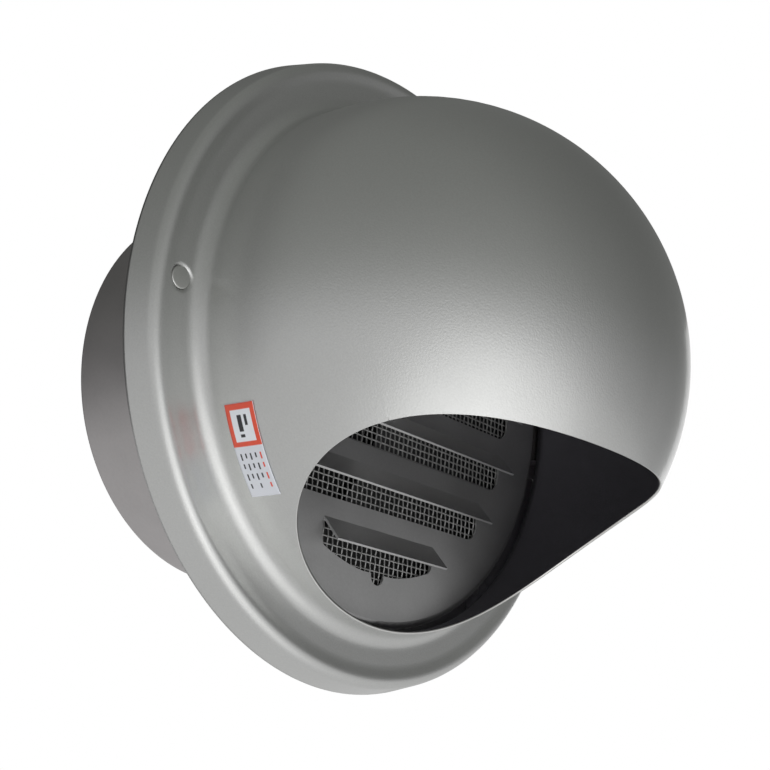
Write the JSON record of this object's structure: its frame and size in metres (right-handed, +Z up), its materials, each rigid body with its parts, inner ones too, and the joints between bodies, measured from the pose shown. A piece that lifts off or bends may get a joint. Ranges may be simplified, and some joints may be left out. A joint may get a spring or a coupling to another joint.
{
  "type": "hooded wall vent",
  "caption": "Ball-shaped hooded outlet for a round duct, open below over a louvred and meshed plate, with a spring-shut fire damper in its spigot.",
  "frame": {"origin": "on the duct axis in the plane of the wall, where the flange's rim stands", "axes": "+Y into the duct along the spigot, -Y out of the wall, +Z up, +X to the right seen from outside"},
  "size_m": [0.1498, 0.1243, 0.1498],
  "materials": {
    "silver_hood": "stainless sheet with a fine silver satin finish",
    "pressed_steel": "mill-finish stainless sheet",
    "mesh_wire": "drawn wire",
    "galvanised_collar": "dull galvanised sheet",
    "rivet_metal": "plain aluminium",
    "screw_steel": "plain stainless",
    "shaft_steel": "drawn bar",
    "spring_steel": "spring wire",
    "fuse_brass": "rolled brass strip",
    "label_film": "printed film"
  },
  "bodies": {
    "vent_body": {"hood": "silver_hood", "louvre_plate": "pressed_steel", "insect_mesh": "mesh_wire", "base_ring": "pressed_steel", "collar": "galvanised_collar", "collar_rivets": "rivet_metal", "louvre_rivets": "rivet_metal", "screw_brackets": "galvanised_collar", "hood_screws": "screw_steel", "damper_shaft": "shaft_steel", "shaft_clips": "spring_steel", "left_spring": "spring_steel", "right_spring": "spring_steel", "blade_stops": "pressed_steel", "rating_label": "label_film"},
    "left_blade_body": {"left_blade": "pressed_steel", "left_fuse_plate": "fuse_brass", "left_fuse_rivets": "rivet_metal"},
    "right_blade_body": {"right_blade": "pressed_steel", "right_fuse_plate": "fuse_brass", "right_fuse_rivets": "rivet_metal"}
  },
  "joints": [
    {"name": "left_blade_hinge", "type": "hinge", "parent": "vent_body", "child": "left_blade_body", "pos_m": [0, 0.0425, 0], "axis": [0, 0, -1], "range_deg": [0, 90], "deforming": ["left_spring"]},
    {"name": "right_blade_hinge", "type": "hinge", "parent": "vent_body", "child": "right_blade_body", "pos_m": [0, 0.0425, 0], "axis": [0, 0, 1], "range_deg": [0, 90], "deforming": ["right_spring"]}
  ]
}
